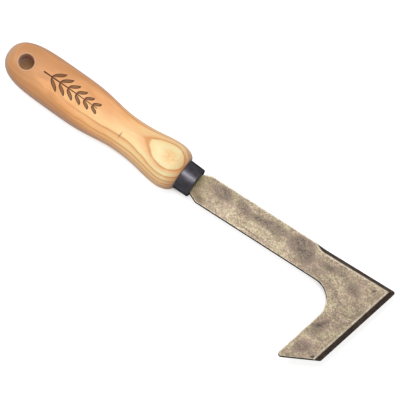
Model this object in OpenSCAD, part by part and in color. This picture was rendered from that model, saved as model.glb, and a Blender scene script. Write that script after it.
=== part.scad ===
// Weeding knife: an L-shaped steel blade whose tang is driven into an ash handle
// through a ferrule. X runs from the handle's butt to the blade, Z is square to
// the blade, and the origin is the middle of the hanging hole.

/* [Handle] */
// Length of the wood that shows, from the butt to the ferrule
handle_len = 140; // [120:1:170]
// Distance from the butt to the middle of the hanging hole
hole_at = 14.5; // [13:0.5:20]
// Diameter of the hanging hole
hole_d = 10.5; // [6:0.5:14]
// Width of the chamfer round each mouth of the hanging hole
hole_chamfer = 0.6; // [0.2:0.1:1.2]
// Width of the belly, where the palm lies
belly_w = 32.8; // [27:0.1:38]
// Thickness of the belly
belly_t = 25; // [21:0.5:30]
// Distance from the butt to the widest place of the belly
belly_at = 52; // [40:0.5:60]
// Thickness of the flat butt, round the hanging hole
butt_t = 19; // [15:0.5:23]
// Length over which the butt is rounded down in its thickness
butt_round = 9; // [5:0.5:12]
// Width of the waist, where the fingers close
waist_w = 25.6; // [22:0.1:29]
// Thickness of the waist
waist_t = 22; // [18:0.5:26]
// Distance from the ferrule back to the middle of the waist
waist_back = 46.5; // [36:0.5:54]
// Width of the bulb behind the ferrule
bulb_w = 32.6; // [27:0.1:38]
// Thickness of the bulb
bulb_t = 27; // [24:0.5:32]
// Distance from the ferrule back to the widest place of the bulb
bulb_back = 11; // [6:0.5:14]

/* [Ferrule] */
// Length of the ferrule
ferrule_len = 11.2; // [8:0.2:20]
// Outer diameter of the ferrule, against the handle
ferrule_rear_d = 21.5; // [20.7:0.1:24]
// Outer diameter of the ferrule, at its mouth
ferrule_front_d = 21.1; // [19.6:0.1:21.5]
// Wall of the ferrule
ferrule_wall = 1; // [0.6:0.1:1.2]
// Radius of the outer edge of the mouth
mouth_round = 0.8; // [0.2:0.1:1]
// How far the wood ends behind the mouth
tenon_recess = 1.5; // [0.5:0.1:3]

/* [Blade] */
// Length from the ferrule's mouth to the heel, along the shank
blade_len = 149; // [120:0.5:180]
// Width of the shank
shank_w = 20.5; // [17:0.1:26]
// Thickness of the plate
plate_t = 4; // [2.5:0.1:5]
// Width of the neck in the ferrule's mouth
neck_w = 15; // [11:0.2:15.4]
// Length over which the neck widens to the shank
shoulder_len = 6; // [4:0.5:12]
// Radius where the shoulder meets the shank
shoulder_r = 4; // [2:0.5:8]
// How far the heel rises above the line of the shank
heel_rise = 1.1; // [0.5:0.1:4]
// Length of the foot along its outer edge
foot_len = 67; // [50:0.5:90]
// Width of the foot
foot_w = 22.9; // [17:0.1:28]
// Lean of the foot back towards the handle, in degrees
foot_lean = 14.8; // [5:0.1:25]
// Slope of the foot's end, in degrees from the shank's direction
foot_end_slope = 27; // [5:1:40]
// Radius inside the crook
crook_r = 15; // [8:0.5:20]
// Radius of the heel and of the foot's lower corner
corner_r = 1.5; // [0.5:0.1:2.5]
// Radius of the foot's tip
tip_r = 2; // [0.5:0.1:3]
// Turn of the blade from the handle's line, in degrees
blade_turn = 2.6; // [0:0.1:4]
// Sideways place of the shank's middle line in the ferrule's mouth
blade_shift = -0.55; // [-1:0.05:0.4]

/* [Bevels] */
// Width of the bevel along the foot's outer edge
foot_bevel_w = 3.7; // [2:0.1:6]
// Width of the bevel along the upper edge
upper_bevel_w = 2.8; // [1.5:0.1:5]
// Length of the bevel along the upper edge, without its run-out
upper_bevel_len = 53; // [30:1:70]
// Radius of the wheel that leaves the bevel's run-out
wheel_r = 12; // [8:1:25]
// Thickness left on the cutting edges
edge_t = 0.5; // [0.2:0.1:1]

/* [Tang] */
// Length of the tang in the wood
tang_len = 70; // [45:1:85]
// Width of the tang at its root
tang_root_w = 9; // [7:0.5:11]
// Width of the tang before its point
tang_tip_w = 5; // [3:0.5:6]
// How far each face of the tang is drawn in from the plate's
tang_step = 0.3; // [0.1:0.1:0.6]

/* [Fits] */
// Radial gap between the ferrule and the wood in it
ferrule_gap = 0.05; // [0.02:0.01:0.2]
// Gap round the tang in its seat
tang_gap = 0.1; // [0.05:0.05:0.4]
// Gap between the neck's end and the wood that it stops on
seat_gap = 0.05; // [0.02:0.01:0.2]

/* [Hidden] */

butt_fullness = 4.9;      // power that fills out the butt's outline
butt_root = 2.16;         // root that rounds the butt's outline at its end
round_fullness = 2.4;     // power of the butt's round in its thickness
wave_skew = 1.36;         // holds the swells full before they fall away
flat_share = 0.25;        // share of the way to the belly that stays at the butt's thickness
butt_square = 2.8;        // cross-section power at the butt and the belly, 2 is an ellipse
bulb_square = 2.2;        // cross-section power at the bulb
ring_points = 40;         // points round the handle's cross-section
butt_rings = 9;           // rings of points on the butt's round
long_rings = 26;          // rings from there to the bulb
front_rings = 7;          // rings on the bulb's round
cutter = 5;               // how far a cutting solid stands clear of what it cuts
round_steps = 5;          // least number of steps in a round of the outline
run_in = 0.4;             // how far past the wheel's deepest place the straight bevel starts
$fn = 96;

waist_at = handle_len - waist_back;
bulb_at = handle_len - bulb_back;
flat_end = flat_share * belly_at;
front_x = handle_len - hole_at;            // where the wood that shows ends at the ferrule
mouth_x = front_x + ferrule_len;           // the ferrule's mouth
tenon_len = ferrule_len - tenon_recess;
tenon_x = front_x + tenon_len;             // the end of the wood, inside the ferrule
seat_x = tenon_x + seat_gap;               // the end of the neck
tang_tip_x = tenon_x - tang_len;
tang_t = plate_t - 2 * tang_step;
shoulder_hw = ferrule_rear_d / 2;          // half size of the wood against the ferrule

// The unit direction of an angle, and a point turned by an angle
function unit(a) = [cos(a), sin(a)];
function turned(p, a) = [p[0] * cos(a) - p[1] * sin(a), p[0] * sin(a) + p[1] * cos(a)];
// The meeting point of the line through p along angle a and the line through q along angle b
function crossing(p, a, q, b) =
    p + unit(a) * ((q[0] - p[0]) * sin(b) - (q[1] - p[1]) * cos(b)) / sin(b - a);
// A swell from size a to size b while t goes from 0 to 1
function wave(a, b, t) = a + (b - a) * (1 - cos(180 * pow(max(0, t), wave_skew))) / 2;
// A rounded fall from size a to size b while t goes from 0 to 1
function fall(a, b, t) = b + (a - b) * sqrt(max(0, 1 - t * t));

// Half width of the handle at distance s from the butt
function half_w(s) =
    s < belly_at ? belly_w / 2 * pow(1 - pow(1 - s / belly_at, butt_fullness), 1 / butt_root)
    : s < waist_at ? wave(belly_w, waist_w, (s - belly_at) / (waist_at - belly_at)) / 2
    : s < bulb_at ? wave(waist_w, bulb_w, (s - waist_at) / (bulb_at - waist_at)) / 2
    : fall(bulb_w / 2, shoulder_hw, (s - bulb_at) / bulb_back);
// Half thickness of the handle at distance s from the butt
function half_t(s) =
    s < butt_round ? butt_t / 2 * sqrt(1 - pow(1 - s / butt_round, round_fullness))
    : s < belly_at ? wave(butt_t, belly_t, (s - flat_end) / (belly_at - flat_end)) / 2
    : s < waist_at ? wave(belly_t, waist_t, (s - belly_at) / (waist_at - belly_at)) / 2
    : s < bulb_at ? wave(waist_t, bulb_t, (s - waist_at) / (bulb_at - waist_at)) / 2
    : fall(bulb_t / 2, shoulder_hw, (s - bulb_at) / bulb_back);
// Squareness of the cross-section, which is a circle against the ferrule
function squareness(s) =
    s < belly_at ? butt_square
    : s < bulb_at ? wave(butt_square, bulb_square, (s - belly_at) / (bulb_at - belly_at))
    : wave(bulb_square, 2, (s - bulb_at) / bulb_back);
function power(v, n) = sign(v) * pow(abs(v), 2 / n);
// One ring of points round the handle
function ring(s) = [
    for (i = [0:ring_points - 1])
        let (a = 360 * i / ring_points, n = squareness(s))
            [s - hole_at, half_w(s) * power(cos(a), n), half_t(s) * power(sin(a), n)]
];
// Where the rings stand, close together on the handle's rounded ends
ring_places = concat(
    [for (i = [1:butt_rings]) butt_round * (1 - cos(90 * i / butt_rings))],
    [for (i = [1:long_rings]) butt_round + (bulb_at - butt_round) * i / long_rings],
    [for (i = [1:front_rings]) bulb_at + bulb_back * sin(90 * i / front_rings)]
);

// The turned and shaped wood, closed by a point at the butt and by a flat at the ferrule
module handle_skin() {
    n = ring_points;
    last = len(ring_places) - 1;
    points = concat([[-hole_at, 0, 0], [front_x, 0, 0]], [for (s = ring_places) each ring(s)]);
    butt = [for (j = [0:n - 1]) [0, 2 + j, 2 + (j + 1) % n]];
    sides = [
        for (i = [0:last - 1], j = [0:n - 1])
            let (a = 2 + i * n + j, b = 2 + i * n + (j + 1) % n)
                each [[a, a + n, b], [b, a + n, b + n]]
    ];
    front = [for (j = [0:n - 1]) [1, 2 + last * n + (j + 1) % n, 2 + last * n + j]];
    polyhedron(points = points, faces = concat(butt, sides, front));
}

// Radius of the ferrule's inner wall at distance x in front of its rear end
function ferrule_r(x) =
    (ferrule_rear_d + (ferrule_front_d - ferrule_rear_d) * x / ferrule_len) / 2 - ferrule_wall;

// The tapered round tongue of wood inside the ferrule
module tenon() {
    translate([front_x, 0, 0])
        rotate([0, 90, 0]) {
            translate([0, 0, -cutter])
                cylinder(h = cutter, r = ferrule_r(0) - ferrule_gap);
            cylinder(h = tenon_len, r1 = ferrule_r(0) - ferrule_gap, r2 = ferrule_r(tenon_len) - ferrule_gap);
        }
}

module hanging_hole() {
    cylinder(h = belly_t + 2 * cutter, d = hole_d, center = true);
    for (side = [0, 1])
        rotate([180 * side, 0, 0])
            translate([0, 0, butt_t / 2 - hole_chamfer])
                cylinder(h = 2 * hole_chamfer, d1 = hole_d, d2 = hole_d + 4 * hole_chamfer);
}

// Corners of the tang in the handle's line, with a gap left round it
function tang_corners(gap) =
    let (root = tang_root_w / 2 + gap, tip = tang_tip_w / 2 + gap, point = tang_tip_x + tang_tip_w / 2 - gap)
        [[seat_x, root], [point, tip], [tang_tip_x - 2 * gap, 0], [point, -tip], [seat_x, -root]];

// The seat that the tang is driven into
module tang_seat() {
    mouth = seat_x + cutter;
    root = tang_root_w / 2 + tang_gap;
    linear_extrude(tang_t + 2 * tang_gap, center = true)
        polygon(concat(tang_corners(tang_gap), [[mouth, -root], [mouth, root]]));
}

module handle() {
    color("burlywood")
        difference() {
            union() {
                handle_skin();
                tenon();
            }
            hanging_hole();
            tang_seat();
        }
}

// The points of a round of radius r on a corner p, from the side along angle a to the side along angle b
function rounded(p, a, b, r) =
    let (
        middle = (unit(a) + unit(b)) / norm(unit(a) + unit(b)),
        half = acos(middle * unit(a)),
        centre = p + middle * r / sin(half),
        first = p + unit(a) * r / tan(half) - centre,
        last = p + unit(b) * r / tan(half) - centre,
        sweep = sign(cross(first, last)) * (180 - 2 * half),
        steps = round_steps + ceil(r)
    )
        [for (i = [0:steps]) centre + turned(first, sweep * i / steps)];

// A ring of steel, slightly tapered and rounded at its mouth
module ferrule() {
    taper = atan((ferrule_rear_d - ferrule_front_d) / 2 / ferrule_len);
    mouth = [ferrule_front_d / 2, ferrule_len];
    color("dimgray")
        translate([front_x, 0, 0])
            rotate([0, 90, 0])
                rotate_extrude()
                    polygon(concat(
                        [[ferrule_r(0), 0], [ferrule_rear_d / 2, 0]],
                        rounded(mouth, taper - 90, 180, mouth_round),
                        [[ferrule_r(ferrule_len), ferrule_len]]
                    ));
}

// Corners of the blade in its own line, where u runs along the shank and v across it
top_v = shank_w / 2;
heel = [blade_len, top_v + heel_rise];
bevel_start = [blade_len - upper_bevel_len, top_v];
upper_angle = atan(heel_rise / upper_bevel_len);
outer_angle = -90 - foot_lean;             // the way down the foot from the heel
end_angle = 180 + foot_end_slope;          // the way along the foot's end to its tip
foot_corner = heel + foot_len * unit(outer_angle);
inner_start = heel + foot_w * unit(outer_angle - 90);
foot_tip = crossing(foot_corner, end_angle, inner_start, outer_angle);
crook = crossing([0, -top_v], 0, inner_start, outer_angle);
shoulder_slope = atan((shank_w - neck_w) / 2 / shoulder_len);

// A point of the handle's line in the blade's own, which starts at the ferrule's mouth
function in_blade_line(p) = turned(p - [mouth_x, blade_shift], -blade_turn);
// Where the neck's side at height v meets the plane that it is seated on
function neck_end(v) = crossing([0, v], 180, in_blade_line([seat_x, 0]), 90 - blade_turn);

// Outline of the tang, the neck, the shank and the foot, in the blade's own line
module blade_outline() {
    neck_v = neck_w / 2;
    polygon(concat(
        [for (p = tang_corners(0)) in_blade_line(p)],
        [neck_end(-neck_v), [0, -neck_v]],
        rounded([shoulder_len, -top_v], 180 - shoulder_slope, 0, shoulder_r),
        rounded(crook, 180, outer_angle, crook_r),
        rounded(foot_tip, outer_angle + 180, end_angle - 180, tip_r),
        rounded(foot_corner, end_angle, outer_angle + 180, corner_r),
        rounded(heel, outer_angle, 180 + upper_angle, corner_r),
        [bevel_start],
        rounded([shoulder_len, top_v], 0, 180 + shoulder_slope, shoulder_r),
        [[0, neck_v], neck_end(neck_v)]
    ));
}

// A solid that cuts a bevel of width w into the edge which leaves p along angle a
module bevel_cut(p, a, length, w) {
    low = edge_t - plate_t / 2;
    translate(p)
        rotate(a)
            rotate([90, 0, 90])
                linear_extrude(length)
                    polygon([
                        [-w, plate_t / 2], [0, low], [cutter, low],
                        [cutter, plate_t / 2 + cutter], [-w, plate_t / 2 + cutter]
                    ]);
}

// The hollow that the grinding wheel leaves where the upper bevel starts
module wheel_run_out() {
    slope = upper_bevel_w / (plate_t - edge_t);
    translate(bevel_start + (wheel_r - upper_bevel_w) * unit(upper_angle + 90))
        translate([0, 0, -plate_t / 2])
            cylinder(h = plate_t + 1, r1 = wheel_r - plate_t * slope, r2 = wheel_r + slope);
}

// What is taken off both faces of the plate behind the ferrule's mouth
module tang_relief() {
    reach = mouth_x - tang_tip_x + cutter;
    for (side = [0, 1])
        rotate([180 * side, 0, 0])
            translate([mouth_x - reach, -neck_w / 2 - cutter, tang_t / 2])
                cube([reach, neck_w + 2 * cutter, cutter]);
}

// The blade with its tang, from one plate, with two bevels ground on its face
module blade() {
    color("darkkhaki")
        difference() {
            translate([mouth_x, blade_shift, 0])
                rotate(blade_turn)
                    difference() {
                        linear_extrude(plate_t, center = true)
                            blade_outline();
                        bevel_cut(bevel_start + run_in * unit(upper_angle), upper_angle, blade_len, upper_bevel_w);
                        wheel_run_out();
                        bevel_cut(heel - cutter * unit(outer_angle), outer_angle, foot_len + 2 * cutter, foot_bevel_w);
                    }
            tang_relief();
        }
}

handle();
ferrule();
blade();
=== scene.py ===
import bpy
from math import cos, pi, radians, sin, sqrt, tan
from mathutils import Matrix, Vector


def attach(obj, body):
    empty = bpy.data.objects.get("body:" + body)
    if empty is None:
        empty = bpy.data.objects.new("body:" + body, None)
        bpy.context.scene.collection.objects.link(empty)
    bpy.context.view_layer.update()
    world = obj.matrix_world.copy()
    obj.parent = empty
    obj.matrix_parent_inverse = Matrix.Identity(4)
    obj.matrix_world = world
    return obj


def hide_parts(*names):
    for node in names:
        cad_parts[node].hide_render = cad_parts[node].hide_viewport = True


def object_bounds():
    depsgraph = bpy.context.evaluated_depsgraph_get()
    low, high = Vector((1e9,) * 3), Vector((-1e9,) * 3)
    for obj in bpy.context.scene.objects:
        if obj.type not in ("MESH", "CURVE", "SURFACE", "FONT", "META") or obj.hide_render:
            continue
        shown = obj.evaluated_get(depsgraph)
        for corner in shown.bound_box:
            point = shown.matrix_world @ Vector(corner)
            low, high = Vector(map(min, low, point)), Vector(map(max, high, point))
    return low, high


# A short hand weeder: a lacquered ash handle, a black ferrule and a bevelled steel blade.
# Lengths are in millimetres, and MM turns them to metres where Blender needs them.

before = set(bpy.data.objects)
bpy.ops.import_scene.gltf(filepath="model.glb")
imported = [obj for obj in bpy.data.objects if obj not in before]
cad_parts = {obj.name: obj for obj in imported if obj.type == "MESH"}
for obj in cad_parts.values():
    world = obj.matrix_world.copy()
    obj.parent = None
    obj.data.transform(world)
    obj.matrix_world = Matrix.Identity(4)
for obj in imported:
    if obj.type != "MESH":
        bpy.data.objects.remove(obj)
CAD_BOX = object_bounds()
MM = 0.001
NEAR = 0.001                  # two lengths closer than this are taken as one
MERGE = 1e-7                  # metres within which two points of a new piece are merged
QUARTER = [pi / 12 * i for i in range(7)]   # the angles that a quarter round is drawn at

# Handle
HANDLE_LEN, HOLE_AT, HOLE_D = 140.0, 14.5, 10.5
BELLY_W, BELLY_T, BELLY_AT = 32.8, 25.0, 52.0
BUTT_T, BUTT_ROUND = 19.0, 9.0
WAIST_W, WAIST_T, WAIST_AT = 25.6, 22.0, 93.5
BULB_W, BULB_T, BULB_AT = 32.6, 27.0, 129.0
BUTT_SQUARE, BULB_SQUARE = 2.8, 2.2   # powers of the cross-section, where 2 is an ellipse
BUTT_FULLNESS, BUTT_ROOT = 4.9, 2.16  # powers that shape the butt's outline
ROUND_FULLNESS = 2.4          # power of the butt's round in its thickness
WAVE_SKEW = 1.36              # holds the swells full before they fall away
FLAT_SHARE = 0.25             # share of the way to the belly that keeps the butt's thickness
HOLE_ROUND = 1.2              # radius of the hole's worn rim
HOLE_RISE = 0.18              # how far the wood at the hole stands above the butt's flat
FRONT_X = HANDLE_LEN - HOLE_AT
# Ferrule
FERRULE_LEN, FERRULE_REAR_D, FERRULE_FRONT_D, FERRULE_WALL = 11.2, 21.5, 21.1, 1.0
FERRULE_GAP, TENON_RECESS, MOUTH_ROUND = 0.05, 1.5, 0.8
REAR_EASE, BORE_EASE = 0.15, 0.1
# Blade
PLATE_T, CORNER_EASE, BACK_EASE, MARGIN = 4.0, 0.5, 0.15, 0.15
BLADE_AT, BLADE_TURN = (136.7, -0.55, 0.0), 2.6
FACE, GROUND, RUBBED, SCALE_AND_SHADE = range(4)     # the blade's finishes, in the order of its materials
# What the direction of a face tells: it is flat, slopes as the bevels do, or looks towards -Y
FLAT, SLOPING, LOOKING_DOWN = 0.99, 0.3, -0.6


# Working with Blender as by hand
def put_down():
    """Leaves edit mode, with nothing selected."""
    if bpy.context.object and bpy.context.object.mode == "EDIT":
        bpy.ops.object.mode_set(mode="OBJECT")
    bpy.ops.object.select_all(action="DESELECT")


def pick_up(piece):
    """Makes a piece the active one and the only one selected."""
    put_down()
    bpy.context.view_layer.objects.active = piece
    piece.select_set(True)


def open_up(piece, chosen):
    """Opens a piece in edit mode with the points selected that the test chosen accepts."""
    pick_up(piece)
    bpy.ops.object.mode_set(mode="EDIT")
    bpy.ops.mesh.select_mode(type="VERT")
    bpy.ops.mesh.select_all(action="DESELECT")
    bpy.ops.object.mode_set(mode="OBJECT")
    for v in piece.data.vertices:
        v.select = chosen(v.co / MM)
    bpy.ops.object.mode_set(mode="EDIT")
    bpy.ops.mesh.select_mode(type="VERT")


def apply_modifier(piece, kind, **settings):
    """Gives a piece a modifier and makes its result the mesh."""
    pick_up(piece)
    modifier = piece.modifiers.new(kind.lower(), kind)
    for key, value in settings.items():
        setattr(modifier, key, value)
    bpy.ops.object.modifier_apply(modifier=modifier.name)


def close_up(piece):
    """Merges doubled points, turns the faces outwards and leaves edit mode."""
    bpy.ops.mesh.select_all(action="SELECT")
    bpy.ops.mesh.remove_doubles(threshold=MERGE)
    bpy.ops.mesh.normals_make_consistent(inside=False)
    put_down()


def finish_piece(piece, name, node, slot, smooth, *materials):
    """Names a piece, smooths it and lets it stand for its solid."""
    pick_up(piece)
    bpy.ops.object.transform_apply(location=True, rotation=True, scale=True)
    bpy.ops.object.shade_smooth_by_angle(angle=radians(smooth))
    piece.name = piece.data.name = name
    for material in materials:
        piece.data.materials.append(material)
    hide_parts(node)
    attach(piece, "root")


def draw_along(x, stations):
    """Extrudes the selected round edge through the stations (x, width, height), from a first one at x."""
    (_, w0, h0), *rest = stations
    for x1, w1, h1 in rest:
        bpy.ops.mesh.extrude_region_move(TRANSFORM_OT_translate={"value": ((x1 - x) * MM, 0, 0)})
        bpy.ops.transform.resize(value=(1, w1 / w0, h1 / h0), center_override=(x1 * MM, 0, 0))
        x, w0, h0 = x1, w1, h1


# The camera: a long lens, square to the tool but for a slight lean towards its lower side
PICTURE = 400                 # pixels along a side of the picture
PIXEL = 0.655                 # size of one pixel of the picture at the tool
TILT = radians(8.0)           # how far the view leans from square to the blade
TURN = radians(35.53)         # how far the handle's line runs down from level
MIDDLE = (145.0, -7.33)       # the point of the tool's plane in the middle of the picture
SENSOR, LENS = 36, 900        # width of the sensor and length of the lens


def place_camera():
    """Sets the camera so far back that a pixel has its size at the tool."""
    right = Vector((cos(TURN), sin(TURN), 0))
    down = Vector((sin(TURN), -cos(TURN), 0))
    back = Vector((0, 0, cos(TILT))) + down * sin(TILT)
    up = back.cross(right)
    data = bpy.data.cameras.new("long_lens")
    data.sensor_width = SENSOR
    data.lens = LENS
    distance = PICTURE * PIXEL * MM * LENS / SENSOR
    camera = bpy.data.objects.new("long_lens", data)
    bpy.context.scene.collection.objects.link(camera)
    place = Vector((MIDDLE[0] * MM, MIDDLE[1] * MM, 0)) + back * distance
    camera.matrix_world = Matrix.Translation(place) @ Matrix((right, up, back)).transposed().to_4x4()
    bpy.context.scene.camera = camera


place_camera()


# Materials
def srgb(text):
    """A colour written as sRGB hex, turned to linear."""
    values = [int(text[i:i + 2], 16) / 255 for i in (1, 3, 5)]
    return [v / 12.92 if v <= 0.04045 else ((v + 0.055) / 1.055) ** 2.4 for v in values] + [1.0]


# Sockets are given by number. On MapRange, 1 and 2 are the range that a value comes from, 3 and 4 the one
# it goes to. On Mix, 0 is the share, 6 and 7 are the colours. On TexNoise, 2 is the scale, 3 the detail,
# 4 the roughness and 8 the distortion. A spherical TexGradient gives 1 in its middle and 0 at its rim.
def add(tree, kind, inputs=None, stops=None, **settings):
    """Adds a node with its settings, its values, colours and links, and a ramp's stops."""
    node = tree.nodes.new("ShaderNode" + kind)
    for key, value in settings.items():
        setattr(node, key, value)
    for name, value in (inputs or {}).items():
        if isinstance(value, bpy.types.NodeSocket):
            tree.links.new(value, node.inputs[name])
        else:
            node.inputs[name].default_value = srgb(value) if isinstance(value, str) else value
    for i, (place, value) in enumerate(stops or ()):
        elements = node.color_ramp.elements
        element = elements[i] if i < 2 else elements.new(place)
        element.position = place
        element.color = srgb(value) if isinstance(value, str) else (value, value, value, 1)
    return node.outputs


def new_material(name, **shader):
    """Starts a material with one shader, and gives its node tree and the shader's sockets too."""
    material = bpy.data.materials.new(name)
    material.use_nodes = True
    tree = material.node_tree
    tree.nodes.clear()
    sockets = {key.replace("_", " "): value for key, value in shader.items()}
    surface = add(tree, "BsdfPrincipled", sockets)[0]
    add(tree, "OutputMaterial", {"Surface": surface})
    return material, tree, surface.node.inputs


def places(tree, size=(1, 1, 1), at=(0, 0, 0), turn=0):
    """The piece's own coordinates from the point at, turned about Z, in steps of size millimetres."""
    where = add(tree, "TexCoord")["Object"]
    at, size = [v * MM for v in at], [v * MM for v in size]
    values = {0: where, 1: at, 2: (0, 0, radians(turn)), 3: size}
    return add(tree, "Mapping", values, vector_type="TEXTURE")[0]


def total(tree, start, *parts):
    """Adds up shares of several values: each part is a value and how much of it is taken."""
    for value, share in parts:
        start = add(tree, "Math", {0: value, 1: share, 2: start}, operation="MULTIPLY_ADD")[0]
    return start


# The sprig burnt into the belly: its stem runs along X, from behind its first pair of leaves
SPRIG_X, SPRIG_Y = 16.0, 1.4          # where the first pair of leaves leaves the stem
LEAF_PITCH, LEAF_LEAN, LEAF_PAIRS = 6.6, radians(42), 6
LEAF_LEN, LEAF_W = 11.0, 3.0
LEAF_LOSS = 0.95              # how much shorter each pair is than the last
STEM_START, STEM_END = -3.0, 40.0


def burnt_sprig(tree, x, y, z):
    """How much a point is burnt: a plain sprig of leaves, 43 mm long, on the upper face of the belly."""
    along = add(tree, "Math", {0: x, 1: SPRIG_X}, operation="SUBTRACT")[0]
    side = add(tree, "Math", {0: y, 1: SPRIG_Y}, operation="SUBTRACT")[0]
    out = add(tree, "Math", {0: side}, operation="ABSOLUTE")[0]
    # Each leaf starts from the stem at a step of the pitch and leans forward.
    start = total(tree, along, (out, -1 / tan(LEAF_LEAN)))
    step = add(tree, "Math", {0: start, 1: 1 / LEAF_PITCH}, operation="MULTIPLY")[0]
    leaf = add(tree, "Math", {0: step}, operation="FLOOR")[0]
    within = add(tree, "Math", {0: step, 1: leaf}, operation="SUBTRACT")[0]
    off = add(tree, "Math", {0: within, 1: 0.5}, operation="SUBTRACT")[0]
    off = add(tree, "Math", {0: off}, operation="ABSOLUTE")[0]
    off = add(tree, "Math", {0: off, 1: LEAF_PITCH * sin(LEAF_LEAN)}, operation="MULTIPLY")[0]
    # The leaves grow shorter towards the tip of the sprig, and each is pointed at both ends.
    length = total(tree, LEAF_LEN, (leaf, -LEAF_LOSS))
    part = add(tree, "Math", {0: out, 1: sin(LEAF_LEAN)}, operation="DIVIDE")[0]
    part = add(tree, "Math", {0: part, 1: length}, operation="DIVIDE", use_clamp=True)[0]
    rest = add(tree, "Math", {0: 1.0, 1: part}, operation="SUBTRACT")[0]
    width = add(tree, "Math", {0: part, 1: rest}, operation="MULTIPLY")[0]
    inside = total(tree, 0.0, (width, LEAF_W * 2), (off, -1.0))
    # A leaf's border is soft over a quarter of a millimetre, and burnt darker than its middle.
    leaves = add(tree, "MapRange", {0: inside, 1: 0.0, 2: 0.25})[0]
    rim = add(tree, "MapRange", {0: inside, 1: 0.5, 2: 0.9, 3: 1.0, 4: 0.78})[0]
    leaves = add(tree, "Math", {0: leaves, 1: rim}, operation="MULTIPLY")[0]
    first = add(tree, "Math", {0: leaf, 1: -0.5}, operation="GREATER_THAN")[0]
    last = add(tree, "Math", {0: leaf, 1: LEAF_PAIRS - 0.5}, operation="LESS_THAN")[0]
    leaves = add(tree, "Math", {0: leaves, 1: first}, operation="MULTIPLY")[0]
    leaves = add(tree, "Math", {0: leaves, 1: last}, operation="MULTIPLY")[0]
    # The stem tapers from 1.1 mm to 0.5 mm.
    half_w = add(tree, "MapRange", {0: along, 1: STEM_START, 2: STEM_END, 3: 0.65, 4: 0.35})[0]
    stem = add(tree, "MapRange", {0: total(tree, half_w, (out, -1.0)), 1: 0.0, 2: 0.2})[0]
    begin = add(tree, "Math", {0: along, 1: STEM_START}, operation="GREATER_THAN")[0]
    end = add(tree, "Math", {0: along, 1: STEM_END}, operation="LESS_THAN")[0]
    stem = add(tree, "Math", {0: stem, 1: begin}, operation="MULTIPLY")[0]
    stem = add(tree, "Math", {0: stem, 1: end}, operation="MULTIPLY")[0]
    burnt = add(tree, "Math", {0: stem, 1: leaves}, operation="MAXIMUM")[0]
    upper = add(tree, "Math", {0: z, 1: 0.0}, operation="GREATER_THAN")[0]
    return add(tree, "Math", {0: burnt, 1: upper}, operation="MULTIPLY")[0]


RING_STEP = 2.5               # distance between yearly rings
LOOP_DEPTH = 15.4             # depth of the ring that shows as a closed loop on the bulb
GRAIN_SLANT = 5.0             # depth that a value of 1 on the ramp below stands for
RING_LEAN = 0.18              # how far a ring falls for each millimetre towards +Y


def yearly_rings(tree, along, y, z):
    """Counts the rings from the loop on the bulb, above nought inside it. They lie nearly flat in the
    face, so the next ones run past the loop along both sides."""
    # The grain does not run quite true: it rises from the butt to the belly and sinks to the bulb.
    slant = add(tree, "ValToRGB", {0: along}, stops=[
        (0, 0.5), (0.1, 0.44), (0.24, 0.16), (0.45, 0.21), (0.56, 0.37),
        (0.67, 0.39), (0.77, 0.43), (0.87, 0.5), (0.95, 0.38)])[0]
    slant.node.color_ramp.interpolation = "EASE"
    # Their depth wanders a little along and across the grain.
    wander = add(tree, "TexNoise", {0: places(tree, (60, 14, 14), (260, 8, 34)), 2: 1, 3: 2})[0]
    ripple = add(tree, "TexNoise", {0: places(tree, (20, 3, 3), (26, 7, 1)), 2: 1, 3: 2})[0]
    depth = total(tree, z, (y, RING_LEAN), (slant, GRAIN_SLANT), (wander, 1.4), (ripple, 0.6))
    above = add(tree, "Math", {0: depth, 1: LOOP_DEPTH}, operation="SUBTRACT")[0]
    return add(tree, "Math", {0: above, 1: 1 / RING_STEP}, operation="MULTIPLY")[0]


def ash_shade(tree, along, y):
    """How pale the wood is between its rings: from orange at the butt to straw at the bulb."""
    # Clouds 34 and 11 mm long lie along the grain, and the middle is paler than the sides.
    cloud = add(tree, "TexNoise", {0: places(tree, (34, 12, 12), (7, 3, 5)), 2: 1, 3: 3})[0]
    fleck = add(tree, "TexNoise", {0: places(tree, (11, 3.2, 3.2), (2, 9, 4)), 2: 1, 3: 3})[0]
    core = add(tree, "Math", {0: y}, operation="ABSOLUTE")[0]
    core = add(tree, "MapRange", {0: core, 1: 6, 2: 15, 3: 0.06, 4: -0.22})[0]
    # Inside the bulb's loop a grainy patch is browner.
    knot = places(tree, (9, 7, 12), (115, 2.5, 12))
    knot = add(tree, "TexGradient", {0: knot}, gradient_type="SPHERICAL")[1]
    grains = add(tree, "TexNoise", {0: places(tree, (1.6, 1, 1)), 2: 1, 3: 2, 4: 0.7})[0]
    grains = add(tree, "MapRange", {0: grains, 1: 0.4, 2: 0.62})[0]
    grains = add(tree, "Math", {0: grains, 1: knot}, operation="MULTIPLY")[0]
    # Above the waist's middle line the wood stays orange for longer.
    warm = places(tree, (26, 5, 30), (68, 6, 11))
    warm = add(tree, "TexGradient", {0: warm}, gradient_type="SPHERICAL")[1]
    return total(tree, -0.4, (along, 1.0), (cloud, 0.5), (fleck, 0.3), (core, 1.0),
                 (warm, -0.24), (knot, -0.2), (grains, -0.5))


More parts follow.
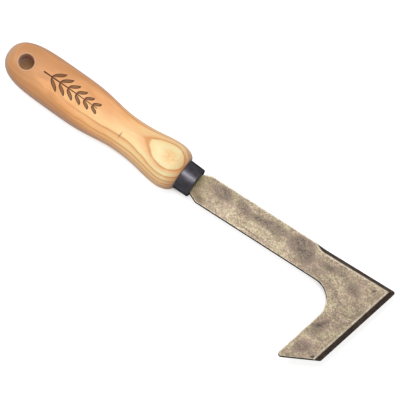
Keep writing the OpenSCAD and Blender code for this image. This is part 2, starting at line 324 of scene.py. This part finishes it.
def ash_colour(tree, x, y, z):
    """The wood with its rings but without its pores, and how strong a ring's line is."""
    along = add(tree, "MapRange", {0: x, 1: -15, 2: 130})[0]
    count = yearly_rings(tree, along, y, z)
    year = add(tree, "Math", {0: count}, operation="FRACT")[0]
    shade = ash_shade(tree, along, y)
    pale = add(tree, "ValToRGB", {0: shade}, stops=[
        (0.0, "#C38A59"), (0.24, "#CE9059"), (0.42, "#EEAB6B"),
        (0.58, "#F7C384"), (0.75, "#F5D497"), (1.0, "#F3E6B2")])[0]
    dark = add(tree, "ValToRGB", {0: shade}, stops=[(0.0, "#B9773F"), (0.5, "#CF8A4B"), (1.0, "#DB9C5C")])[0]
    # A line is sharp on its inner side. The rings fade out towards the butt.
    line = add(tree, "ValToRGB", {0: year}, stops=[
        (0, 0.85), (0.06, 0.1), (0.2, 0), (0.4, 0), (0.6, 0.08), (0.82, 0.25), (0.93, 0.95), (1, 0.9)])[0]
    clear = add(tree, "MapRange", {0: x, 1: 25, 2: 70, 3: 0.35, 4: 1.0})[0]
    line = add(tree, "Math", {0: line, 1: clear}, operation="MULTIPLY")[0]
    # Outside each line the wood is peach coloured and fades to straw, which fills the closed loop.
    peach = add(tree, "ValToRGB", {0: year}, stops=[
        (0, 0.4), (0.08, 0), (0.4, 0), (0.65, 0.4), (0.9, 0.7), (1, 0.6)])[0]
    outside = add(tree, "MapRange", {0: count, 1: 0.06, 2: 0.0})[0]
    peach = add(tree, "Math", {0: peach, 1: outside}, operation="MULTIPLY")[0]
    peach = add(tree, "Math", {0: peach, 1: clear}, operation="MULTIPLY")[0]
    colour = add(tree, "Mix", {0: peach, 6: pale, 7: "#F5B57F"}, data_type="RGBA")[2]
    colour = add(tree, "Mix", {0: line, 6: colour, 7: dark}, data_type="RGBA")[2]
    return colour, line


def wear_and_painted_light_of_handle(tree, x, colour):
    """Puts end grain, painted shade towards the ferrule and in the joint at the ferrule, a bruise and a
    painted highlight on the hole's rim on the wood.
    """
    # Where the fibres are cut across, the wood is duller.
    facing = add(tree, "SeparateXYZ", {0: add(tree, "TexCoord")["Normal"]})[0]
    cut = add(tree, "Math", {0: facing}, operation="ABSOLUTE")[0]
    cut = add(tree, "MapRange", {0: cut, 1: 0.25, 2: 0.9, 4: 0.65})[0]
    colour = add(tree, "Mix", {0: cut, 6: colour, 7: "#D3AA84"}, data_type="RGBA")[2]
    # Towards the ferrule the wood is painted browner: painted shade where its round falls away towards the
    # ferrule.
    front = add(tree, "MapRange", {0: x, 1: FRONT_X - 8.5, 2: FRONT_X - 1, 4: 0.85})[0]
    colour = add(tree, "Mix", {0: front, 6: colour, 7: "#DBB698"}, data_type="RGBA", blend_type="MULTIPLY")[2]
    # A small bruise lies across the grain of the waist.
    bruise = places(tree, (0.7, 3.6, 9), (78.3, -4, 11))
    bruise = add(tree, "TexGradient", {0: bruise}, gradient_type="SPHERICAL")[1]
    colour = add(tree, "Mix", {0: bruise, 6: colour, 7: "#8A7358"}, data_type="RGBA")[2]
    # A thin dark line is painted where the wood meets the ferrule: painted shade in the corner between them.
    joint_shade = add(tree, "MapRange", {0: x, 1: FRONT_X - 0.9, 2: FRONT_X - 0.2, 4: 0.8})[0]
    colour = add(tree, "Mix", {0: joint_shade, 6: colour, 7: "#4E382C"}, data_type="RGBA")[2]
    # The hanging hole's rim is painted pale, a painted highlight where the rim catches the light, with a thin
    # darker line round it, 6.7 mm from the hole's middle.
    ring = add(tree, "TexGradient", {0: places(tree, (8, 8, 800))}, gradient_type="SPHERICAL")[1]
    rim_highlight = add(tree, "ValToRGB", {0: ring}, stops=[(0.19, 0), (0.25, 0.35), (0.32, 0.35), (0.342, 0)])[0]
    edge = add(tree, "ValToRGB", {0: ring}, stops=[(0.12, 0), (0.16, 0.35), (0.19, 0)])[0]
    colour = add(tree, "Mix", {0: rim_highlight, 6: colour, 7: "#E2B892"}, data_type="RGBA")[2]
    return add(tree, "Mix", {0: edge, 6: colour, 7: "#9A6440"}, data_type="RGBA")[2]


def lacquered_ash():
    """Ash, turned, sanded and dipped in clear satin lacquer: straw to orange, with the broad loops
    of its yearly rings, short dark pores along the grain, darker end grain and a soft sheen."""
    material, tree, surface = new_material(
        "lacquered_ash", IOR=1.5, Specular_IOR_Level=0.4, Sheen_Weight=0.35, Sheen_Tint=srgb("#F4F2FF"))
    x, y, z = add(tree, "SeparateXYZ", {0: places(tree)})
    colour, line = ash_colour(tree, x, y, z)
    # Pores are dark streaks up to 11 mm long and 0.4 mm wide, crowded in each ring's line.
    pores = add(tree, "TexNoise", {0: places(tree, (11, 0.4, 0.4)), 2: 1, 3: 3, 4: 0.6})[0]
    pores = add(tree, "MapRange", {0: pores, 1: 0.55, 2: 0.74})[0]
    crowd = add(tree, "MapRange", {0: line, 3: 0.3, 4: 0.8})[0]
    pores = add(tree, "Math", {0: pores, 1: crowd}, operation="MULTIPLY")[0]
    tint = add(tree, "Math", {0: pores, 1: 0.55}, operation="MULTIPLY")[0]
    colour = add(tree, "Mix", {0: tint, 6: colour, 7: "#A26C3D"}, data_type="RGBA")[2]
    colour = wear_and_painted_light_of_handle(tree, x, colour)
    burnt = burnt_sprig(tree, x, y, z)
    scorch = add(tree, "Math", {0: burnt, 1: 0.95}, operation="MULTIPLY")[0]
    colour = add(tree, "Mix", {0: scorch, 6: colour, 7: "#4A2716"}, data_type="RGBA")[2]
    tree.links.new(colour, surface["Base Color"])
    tree.links.new(total(tree, 0.55, (pores, 0.15), (burnt, 0.3)), surface["Roughness"])
    height = total(tree, 1.0, (pores, -0.5), (line, -0.15), (burnt, -1.0))
    bump = add(tree, "Bump", {"Height": height, "Strength": 0.5, "Distance": 0.15 * MM})[0]
    tree.links.new(bump, surface["Normal"])
    return material


# Where the plate's dark scale is thickest: along, across, half length, half width, turn and amount
SCALE_CLOUDS = [
    (18.4, 4.8, 10, 5.5, -12, 0.8),
    (34.8, 3.9, 9, 4.5, -14, 0.7),
    (47, 2.6, 7, 4, 0, 0.5),
    (60, 3.6, 12, 5, 3, 0.85),
    (80, 3.5, 12, 7, 10, 0.95),
    (87, -1, 8, 7, 0, 0.7),
    (104, 0.9, 12, 4, 3, 0.5),
    (125, -2.5, 9, 6, -20, 0.5),
    (119, -36, 10, 5, 65, 0.6),
    (115.5, -53, 9, 5.5, 35, 0.75),
    # A crease at the neck, a pale band along the foot's inner edge and a drawn line along the shank
    (6, -6.6, 6, 2.5, -27, 0.9),
    (110, -52, 12, 2.2, 80, -0.9),
    (48, -7.4, 18, 1.0, -3.4, 0.5),
    # Small dark marks near the foot's end and near the heel
    (126, -54.4, 2.0, 1.0, 25, 8),
    (129.4, -52, 2.0, 1.0, 10, 8),
    (136.6, 3.9, 2.0, 0.9, 50, 8),
]
CLOUD_DEPTH = 12              # half height of the clouds, more than the plate's thickness
CROOK_BAND = (109, -23, 20)   # middle and size of the darker band that runs past the crook


def on_blade(along, across):
    """The place of a point of the blade's upper face, given along and across the blade's own line."""
    a = radians(BLADE_TURN)
    x = BLADE_AT[0] + along * cos(a) - across * sin(a)
    y = BLADE_AT[1] + along * sin(a) + across * cos(a)
    return x, y, PLATE_T / 2


def scale_on_blade(tree):
    """How thick the scale is, from its clouds."""
    scale = 0.0
    for along, across, length, width, turn, amount in SCALE_CLOUDS:
        spot = places(tree, (length, width, CLOUD_DEPTH), on_blade(along, across), BLADE_TURN + turn)
        spot = add(tree, "TexGradient", {0: spot}, gradient_type="SPHERICAL")[1]
        scale = total(tree, scale, (spot, amount))
    return scale


def rubbed_clean(tree):
    """How clean the lower half of the shank was rubbed, which the foot was not."""
    u, v, _ = add(tree, "SeparateXYZ", {0: places(tree, at=BLADE_AT, turn=BLADE_TURN)})
    lower = add(tree, "MapRange", {0: v, 1: 5, 2: -6, 4: 0.1}, interpolation_type="SMOOTHSTEP")[0]
    near = add(tree, "MapRange", {0: u, 1: 0, 2: 100})[0]
    near = add(tree, "ValToRGB", {0: near}, stops=[(0.1, 0), (0.25, 1), (0.7, 1), (0.85, 0)])[0]
    return add(tree, "Math", {0: lower, 1: near}, operation="MULTIPLY")[0]


def mottled_steel():
    """Carbon steel plate, cut out, tumbled and dipped in clear lacquer: a dull khaki grey, clouded
    with brown-grey scale in patches 3 to 15 mm across and speckled all over."""
    material, tree, surface = new_material("mottled_steel", Metallic=0.25)
    cloud = places(tree, (13, 8, 10), (30, 11, 0))
    cloud = add(tree, "TexNoise", {0: cloud, 2: 1, 3: 5, 4: 0.6, 8: 0.4})[0]
    patch = add(tree, "TexNoise", {0: places(tree, (3.4, 2.6, 3)), 2: 1, 3: 3, 4: 0.6})[0]
    # Speckle is drawn 1.1 mm across, coarser than it is, so that it shows.
    speck = add(tree, "TexNoise", {0: places(tree, (1.1, 1.1, 1.1)), 2: 1, 3: 2, 4: 0.7})[0]
    value = total(tree, -0.718, (cloud, 0.6), (patch, 0.62), (speck, 1.12))
    # The scale is left in patches with ragged borders.
    scale = scale_on_blade(tree)
    ragged = total(tree, scale, (patch, 1.0), (speck, 0.6))
    ragged = add(tree, "MapRange", {0: ragged, 1: 0.97, 2: 1.12}, interpolation_type="SMOOTHSTEP")[0]
    along, across, size = CROOK_BAND
    band = places(tree, (size, size, 60), on_blade(along, across))
    band = add(tree, "TexGradient", {0: band}, gradient_type="SPHERICAL")[1]
    band = add(tree, "ValToRGB", {0: band}, stops=[(0.2, 0), (0.26, 1), (0.3, 1), (0.37, 0)])[0]
    value = total(tree, value, (ragged, -0.21), (scale, -0.05), (band, -0.12), (rubbed_clean(tree), 1.0))
    colour = add(tree, "ValToRGB", {0: value}, stops=[
        (0.0, "#41352C"), (0.18, "#807166"), (0.36, "#94836F"), (0.46, "#A6957D"),
        (0.56, "#B8A78C"), (0.68, "#C8B99B"), (0.85, "#D9CCB0")])[0]
    tone = add(tree, "TexNoise", {0: places(tree, (9, 7, 8), (70, 70, 70)), 2: 1, 3: 3})[0]
    tone = add(tree, "MapRange", {0: tone, 1: 0.42, 2: 0.68, 4: 0.35})[0]
    colour = add(tree, "Mix", {0: tone, 6: colour, 7: "#A99483"}, data_type="RGBA")[2]
    # Its lacquer shines now a little pink, now a little olive.
    hue = add(tree, "TexNoise", {0: places(tree, (5, 4, 4), (-40, 20, 0)), 2: 1, 3: 3, 4: 0.5})[0]
    hue = add(tree, "ValToRGB", {0: hue}, stops=[(0.38, "#FFF9FE"), (0.62, "#FBFFF6")])[0]
    colour = add(tree, "Mix", {0: 1.0, 6: colour, 7: hue}, data_type="RGBA", blend_type="MULTIPLY")[2]
    # Towards the ferrule the neck is darker, and a thin olive line runs along the ferrule's mouth.
    x = add(tree, "SeparateXYZ", {0: places(tree)})[0]
    neck_darkening = add(tree, "MapRange", {0: x, 1: 154, 2: 139, 4: 0.75}, interpolation_type="SMOOTHSTEP")[0]
    colour = add(tree, "Mix", {0: neck_darkening, 6: colour, 7: "#8E7D60"}, data_type="RGBA")[2]
    olive_line = add(tree, "MapRange", {0: x, 1: 139.0, 2: 137.6, 4: 0.75})[0]
    colour = add(tree, "Mix", {0: olive_line, 6: colour, 7: "#A09A60"}, data_type="RGBA")[2]
    tree.links.new(colour, surface["Base Color"])
    rough = add(tree, "MapRange", {0: value, 1: 0.3, 2: 0.8, 3: 0.62, 4: 0.48})[0]
    tree.links.new(rough, surface["Roughness"])
    bump = add(tree, "Bump", {"Height": value, "Strength": 0.4, "Distance": 0.12 * MM})[0]
    tree.links.new(bump, surface["Normal"])
    return material


def patchy_steel(name, size, colours, rough, detail=4, crumble=0.6, **shader):
    """Starts a steel whose colour and roughness change together, in patches of a size in millimetres."""
    material, tree, surface = new_material(name, **shader)
    patches = add(tree, "TexNoise", {0: places(tree, size), 2: 1, 3: detail, 4: crumble})[0]
    tree.links.new(add(tree, "ValToRGB", {0: patches}, stops=colours)[0], surface["Base Color"])
    first, last = rough
    dull = add(tree, "MapRange", {0: patches, 1: 0.3, 2: 0.7, 3: first, 4: last})[0]
    tree.links.new(dull, surface["Roughness"])
    return material, tree, surface, patches


def satin_black_steel():
    """Steel, blacked and lacquered satin: a near-black with a soft band of light along the ring, the
    faint orange peel of the lacquer and a few greyer rubs."""
    greys = [(0.35, "#504E54"), (0.6, "#5B595F"), (0.75, "#68666C")]
    material, tree, surface, _ = patchy_steel(
        "satin_black_steel", (5, 3, 3), greys, (0.34, 0.42), Metallic=0.85, Specular_Tint=srgb("#303030"))
    peel = add(tree, "TexNoise", {0: places(tree, (0.7, 0.7, 0.7)), 2: 1, 3: 2})[0]
    bump = add(tree, "Bump", {"Height": peel, "Strength": 0.12, "Distance": 0.1 * MM})[0]
    tree.links.new(bump, surface["Normal"])
    return material


def ground_steel_painted_dark():
    """The blade's steel, ground to an edge: painted nearly black and a little warm, a painted reflection of
    dark surroundings, with grinding lines across the edge and paler nicks."""
    painted_dark_tones = [(0.3, "#362B29"), (0.52, "#493B34"), (0.7, "#5C4D42"), (0.82, "#766654")]
    material, tree, surface, _ = patchy_steel(
        "ground_steel_painted_dark", (3, 3, 3), painted_dark_tones, (0.45, 0.6), Metallic=0.1, Specular_IOR_Level=0.15)
    # Grinding lines are drawn 0.5 mm apart, coarser than they are, so that they show.
    lines = add(tree, "TexNoise", {0: places(tree, (0.5, 4, 4), turn=15), 2: 1, 3: 2})[0]
    bump = add(tree, "Bump", {"Height": lines, "Strength": 0.15, "Distance": 0.1 * MM})[0]
    tree.links.new(bump, surface["Normal"])
    return material


def scaled_and_shaded_steel():
    """The upright sides of the plate, with the blue-black scale of the rolling mill left on: dull and nearly
    black, with browner flakes. It is also put on the corners that look towards -Y, as painted shade."""
    browns = [(0.3, "#1E1D1F"), (0.55, "#2C2A29"), (0.72, "#433B34")]
    material, tree, surface, flakes = patchy_steel(
        "scaled_and_shaded_steel", (2.5, 2.5, 1.5), browns, (0.5, 0.65), Metallic=0.2, Specular_IOR_Level=0.2)
    bump = add(tree, "Bump", {"Height": flakes, "Strength": 0.3, "Distance": 0.1 * MM})[0]
    tree.links.new(bump, surface["Normal"])
    return material


def rubbed_steel():
    """The upper corners of the blade, where tumbling rubbed the scale off: a thin pale line."""
    tones = [(0.3, "#B6A78E"), (0.5, "#D2C4AC"), (0.65, "#E6DAC6")]
    return patchy_steel("rubbed_steel", (2.4, 2.4, 2.4), tones, (0.5, 0.36), 3, 0.5, Metallic=0.35)[0]


# The handle
def swell(a, b, t):
    """A wave from size a to size b as t goes from 0 to 1."""
    return a + (b - a) * (1 - cos(pi * max(0.0, t) ** WAVE_SKEW)) / 2


def fall(a, b, t):
    """A quarter round from size a down to size b as t goes from 0 to 1."""
    return b + (a - b) * sqrt(max(0.0, 1 - t * t))


def handle_section(s):
    """Half width, half thickness and squareness of the handle at s mm from its butt."""
    flat_end = FLAT_SHARE * BELLY_AT
    to_waist = (s - BELLY_AT) / (WAIST_AT - BELLY_AT)
    to_bulb = (s - WAIST_AT) / (BULB_AT - WAIST_AT)
    to_front = (s - BULB_AT) / (HANDLE_LEN - BULB_AT)
    if s < BELLY_AT:
        wide = BELLY_W * (1 - (1 - s / BELLY_AT) ** BUTT_FULLNESS) ** (1 / BUTT_ROOT)
        thick = swell(BUTT_T, BELLY_T, (s - flat_end) / (BELLY_AT - flat_end))
        if s < BUTT_ROUND:
            thick = BUTT_T * sqrt(1 - (1 - s / BUTT_ROUND) ** ROUND_FULLNESS)
        square = BUTT_SQUARE
    elif s < BULB_AT:
        square = swell(BUTT_SQUARE, BULB_SQUARE, (s - BELLY_AT) / (BULB_AT - BELLY_AT))
        if s < WAIST_AT:
            wide, thick = swell(BELLY_W, WAIST_W, to_waist), swell(BELLY_T, WAIST_T, to_waist)
        else:
            wide, thick = swell(WAIST_W, BULB_W, to_bulb), swell(WAIST_T, BULB_T, to_bulb)
    else:
        square = swell(BULB_SQUARE, 2, to_front)
        wide, thick = fall(BULB_W, FERRULE_REAR_D, to_front), fall(BULB_T, FERRULE_REAR_D, to_front)
    return wide / 2, thick / 2, square


def handle_stations():
    """Where the rings of the wood lie, closer together at both ends, with their half sizes."""
    end_rings, long_rings = 8, 32
    eighths = [pi / 2 * i / end_rings for i in range(1, end_rings + 1)]
    steps = [BUTT_ROUND * (1 - cos(t)) for t in eighths]
    steps += [BUTT_ROUND + (BULB_AT - BUTT_ROUND) * i / long_rings for i in range(1, long_rings + 1)]
    steps += [BULB_AT + (HANDLE_LEN - BULB_AT) * sin(t) for t in eighths]
    return [(s - HOLE_AT, *handle_section(s)[:2]) for s in steps]


def make_handle():
    """The wood, drawn out ring by ring from the butt and stepped in to a tenon, then bored."""
    stations = handle_stations()
    x, wide, thick = stations[0]
    put_down()
    bpy.ops.mesh.primitive_circle_add(
        vertices=48, radius=MM, location=(x * MM, 0, 0), rotation=(0, pi / 2, 0))
    handle = bpy.context.object
    bpy.ops.object.transform_apply(location=True, rotation=True, scale=True)
    open_up(handle, lambda p: True)
    bpy.ops.transform.resize(value=(1, wide, thick), center_override=(x * MM, 0, 0))
    draw_along(x, stations)
    # The front edge is stepped in to the tenon, whose edges stay sharp.
    bpy.ops.transform.edge_crease(value=1)
    rear_r = FERRULE_REAR_D / 2
    tenon_r = rear_r - FERRULE_WALL - FERRULE_GAP
    tenon_len = FERRULE_LEN - TENON_RECESS
    tip_r = tenon_r - (FERRULE_REAR_D - FERRULE_FRONT_D) / 2 * tenon_len / FERRULE_LEN
    draw_along(FRONT_X, [
        (FRONT_X, rear_r, rear_r), (FRONT_X, tenon_r, tenon_r), (FRONT_X + tenon_len, tip_r, tip_r)])
    bpy.ops.transform.edge_crease(value=1)
    bpy.ops.mesh.extrude_region_move()
    bpy.ops.mesh.merge(type="CENTER")
    # The butt is closed to a point.
    open_up(handle, lambda p: p.x < x + NEAR)
    bpy.ops.mesh.extrude_region_move(TRANSFORM_OT_translate={"value": ((-HOLE_AT - x) * MM, 0, 0)})
    bpy.ops.mesh.merge(type="CENTER")
    close_up(handle)
    # Every ring is pressed from an ellipse to the squarer section that fills the hand.
    for point in handle.data.vertices:
        s = point.co.x / MM + HOLE_AT
        if NEAR < s < HANDLE_LEN - NEAR:
            wide, thick, square = handle_section(s)
            for axis, half in ((1, wide), (2, thick)):
                share = abs(point.co[axis]) / half / MM
                point.co[axis] *= share ** (2 / square - 1) if share > NEAR else 1
    apply_modifier(handle, "SUBSURF", levels=2, render_levels=2)
    bore_hanging_hole(handle)
    return handle


def bore_hanging_hole(handle):
    """Bores the hole with a cutter that flares out at both faces, which leaves a rounded rim."""
    flare_at, r, stand_out = BUTT_T / 2 + HOLE_RISE - HOLE_ROUND, HOLE_D / 2, 4
    flare = [(flare_at + HOLE_ROUND * cos(t), r + HOLE_ROUND * (1 - sin(t))) for t in QUARTER]
    profile = [(flare_at + stand_out, r + HOLE_ROUND)] + flare
    profile += [(-z, radius) for z, radius in reversed(profile)]
    z, radius = profile[0]
    put_down()
    bpy.ops.mesh.primitive_circle_add(
        vertices=64, radius=radius * MM, fill_type="NGON", location=(0, 0, z * MM))
    cutter = bpy.context.object
    bpy.ops.object.transform_apply(location=True, rotation=True, scale=True)
    open_up(cutter, lambda p: True)
    for (z0, r0), (z1, r1) in zip(profile, profile[1:]):
        bpy.ops.mesh.extrude_region_move(TRANSFORM_OT_translate={"value": (0, 0, (z1 - z0) * MM)})
        bpy.ops.transform.resize(value=(r1 / r0, r1 / r0, 1), center_override=(0, 0, z1 * MM))
    close_up(cutter)
    apply_modifier(handle, "BOOLEAN", operation="DIFFERENCE", object=cutter, solver="EXACT")
    bpy.data.objects.remove(cutter)


# The ferrule
def make_ferrule():
    """A tapered ring: its outer face with a rounded mouth, its bore, and a rear edge eased."""
    front_r, rear_r = FERRULE_FRONT_D / 2, FERRULE_REAR_D / 2
    bore_r, round_at = front_r - FERRULE_WALL, FERRULE_LEN - MOUTH_ROUND
    profile = [(0.0, rear_r - REAR_EASE), (REAR_EASE, rear_r), (FERRULE_LEN / 2, (front_r + rear_r) / 2)]
    profile += [(round_at + MOUTH_ROUND * sin(t), front_r - MOUTH_ROUND * (1 - cos(t))) for t in QUARTER]
    profile += [(FERRULE_LEN, bore_r + BORE_EASE), (FERRULE_LEN - BORE_EASE, bore_r)]
    profile += [(0.0, rear_r - FERRULE_WALL), profile[0]]
    put_down()
    bpy.ops.mesh.primitive_circle_add(
        vertices=96, radius=profile[0][1] * MM, location=(FRONT_X * MM, 0, 0), rotation=(0, pi / 2, 0))
    ring = bpy.context.object
    bpy.ops.object.transform_apply(location=True, rotation=True, scale=True)
    open_up(ring, lambda p: True)
    draw_along(FRONT_X, [(FRONT_X + x, r, r) for x, r in profile])
    close_up(ring)
    return ring


# The blade
def make_blade(*finishes):
    """The plate from its exact solid, with its corners eased and the upper ones rubbed bright."""
    plate = bpy.data.objects.new("plate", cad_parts["blade"].data.copy())
    plate.data.materials.clear()
    for finish in finishes:
        plate.data.materials.append(finish)
    bpy.context.scene.collection.objects.link(plate)
    open_up(plate, lambda p: True)
    bpy.ops.mesh.remove_doubles(threshold=10 * MERGE)
    bpy.ops.mesh.dissolve_limited(angle_limit=radians(0.6))
    bpy.ops.mesh.normals_make_consistent(inside=False)
    put_down()
    # A face is flat, slopes up as the bevels do, or is one of the upright sides.
    for face in plate.data.polygons:
        flat, sloping = abs(face.normal.z) > FLAT, face.normal.z > SLOPING
        face.material_index = FACE if flat else GROUND if sloping else SCALE_AND_SHADE
    top = PLATE_T / 2
    for at, ease, finish, segments in ((top, CORNER_EASE, RUBBED, 2), (-top, BACK_EASE, SCALE_AND_SHADE, 1)):
        open_up(plate, lambda p: abs(p.z - at) < NEAR)
        bpy.ops.mesh.select_mode(type="EDGE")
        bpy.ops.mesh.bevel(offset=ease * MM, segments=segments, material=finish, affect="EDGES")
    put_down()
    # The corners that look towards -Y are given the near-black of the upright sides instead of the rubbed
    # line: painted shade.
    for face in plate.data.polygons:
        if face.material_index == RUBBED and face.normal.y < LOOKING_DOWN * face.normal.xy.length:
            face.material_index = SCALE_AND_SHADE
    # A rubbed margin runs round inside the upper corners.
    open_up(plate, lambda p: abs(p.z - top) < NEAR)
    bpy.ops.mesh.select_mode(type="FACE")
    bpy.ops.mesh.inset(thickness=MARGIN * MM)
    put_down()
    for face in plate.data.polygons:
        if abs(face.center.z / MM - top) < NEAR and not face.select:
            face.material_index = RUBBED
    return plate


handle = make_handle()
finish_piece(handle, "ash_handle", "handle", "handle_wood", 40, lacquered_ash())
ferrule = make_ferrule()
finish_piece(ferrule, "ferrule_ring", "ferrule", "ferrule_black", 30, satin_black_steel())
blade = make_blade(mottled_steel(), ground_steel_painted_dark(), rubbed_steel(), scaled_and_shaded_steel())
finish_piece(blade, "steel_blade", "blade", "blade_steel", 21)

# Floor and light, in metres
FLOOR_SIZE, FLOOR_DROP = 12, 0.0002
SHADE_REACH = 0.06            # how far round a point the floor looks for what covers it
FLOOR_GLOW, ROOM_LIGHT = 0.76, 0.42
LAMP_AT, LAMP_AIM, LAMP_SIZE, LAMP_POWER = (-0.04, 0.09, 0.8), (0.12, 0, 0), (0.5, 0.28), 4.7


def white_floor():
    """A white sheet. The camera sees it white, and it keeps a part of the shadow. Where the tool
    covers it closely, as below the hanging hole, it is painted the wood's brown and does not glow: a painted
    shadow."""
    put_down()
    bpy.ops.mesh.primitive_plane_add(size=FLOOR_SIZE, location=(0, 0, CAD_BOX[0][2] - FLOOR_DROP))
    floor = bpy.context.object
    floor.name = "floor"
    material, tree, surface = new_material("white_floor", Roughness=0.9, Emission_Color="#FFFFFF")
    clear = add(tree, "AmbientOcclusion", {"Distance": SHADE_REACH}, samples=40)["AO"]
    clear = add(tree, "MapRange", {0: clear, 1: 0.34, 2: 0.46})[0]
    # Painted shadow: where the tool covers the floor closely, it is painted brown.
    colour = add(tree, "Mix", {0: clear, 6: "#AC835C", 7: "#C8C8C8"}, data_type="RGBA")[2]
    tree.links.new(colour, surface["Base Color"])
    seen = add(tree, "LightPath")["Is Camera Ray"]
    glow = add(tree, "Math", {0: clear, 1: FLOOR_GLOW}, operation="MULTIPLY")[0]
    glow = add(tree, "Math", {0: glow, 1: seen}, operation="MULTIPLY")[0]
    tree.links.new(glow, surface["Emission Strength"])
    floor.data.materials.append(material)


def soft_box():
    """An oblong lamp, whose long side runs with the handle."""
    lamp = bpy.data.lights.new("soft_box", "AREA")
    lamp.shape = "RECTANGLE"
    lamp.size, lamp.size_y = LAMP_SIZE
    lamp.energy = LAMP_POWER
    box = bpy.data.objects.new("soft_box", lamp)
    bpy.context.scene.collection.objects.link(box)
    back = (Vector(LAMP_AT) - Vector(LAMP_AIM)).normalized()
    up = back.cross(Vector((1, 0, 0))).normalized()
    box.matrix_world = Matrix.Translation(LAMP_AT) @ Matrix((up.cross(back), up, back)).transposed().to_4x4()


white_floor()
soft_box()
scene = bpy.context.scene
scene.world = scene.world or bpy.data.worlds.new("room")
scene.world.use_nodes = True
room = scene.world.node_tree.nodes["Background"].inputs
room["Color"].default_value = (1, 1, 1, 1)
room["Strength"].default_value = ROOM_LIGHT
scene.view_settings.view_transform = "Standard"
